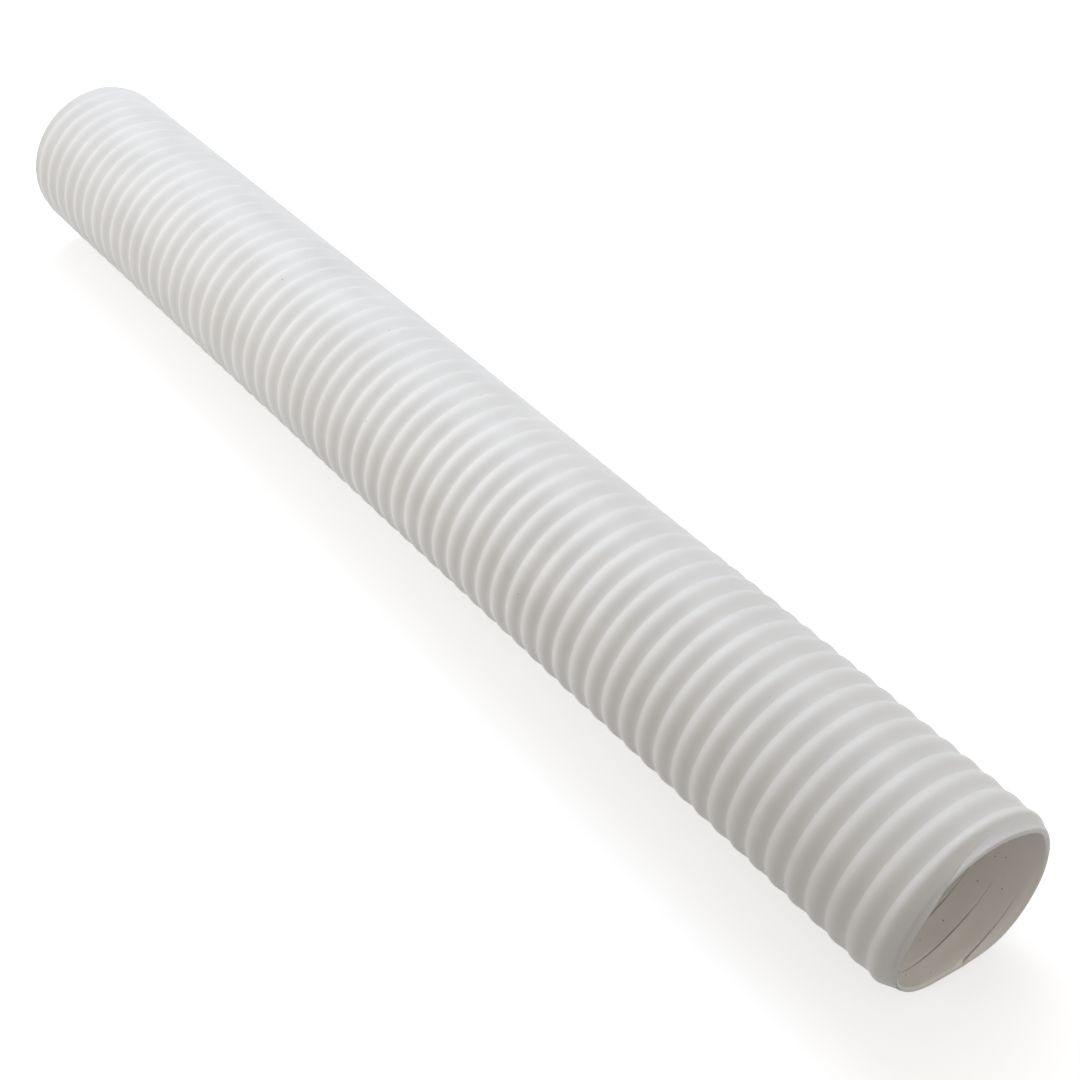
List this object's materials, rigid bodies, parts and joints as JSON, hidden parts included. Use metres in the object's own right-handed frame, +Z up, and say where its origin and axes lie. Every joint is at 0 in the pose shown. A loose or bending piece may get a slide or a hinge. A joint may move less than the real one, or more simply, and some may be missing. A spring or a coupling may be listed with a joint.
{
  "type": "vacuum hose",
  "caption": "Straight cut length of white spiral-wound pool vacuum hose, with a smooth round bore, a left-handed ribbed outside and two bare cut ends.",
  "frame": {"origin": "on the floor plane, under the middle of the hose", "axes": "+X along the bore towards the near mouth, +Z up, with the hose lying on its side"},
  "size_m": [0.332, 0.0426, 0.0426],
  "materials": {
    "hose_wall": "satin, soft and slightly waxy",
    "hose_rib": "satin, soft and slightly waxy",
    "bond_film": "satin"
  },
  "bodies": {
    "root": {"inner_lap": "hose_wall", "lap_bond": "bond_film", "outer_lap": "hose_wall", "rib_bead": "hose_rib"}
  },
  "joints": []
}
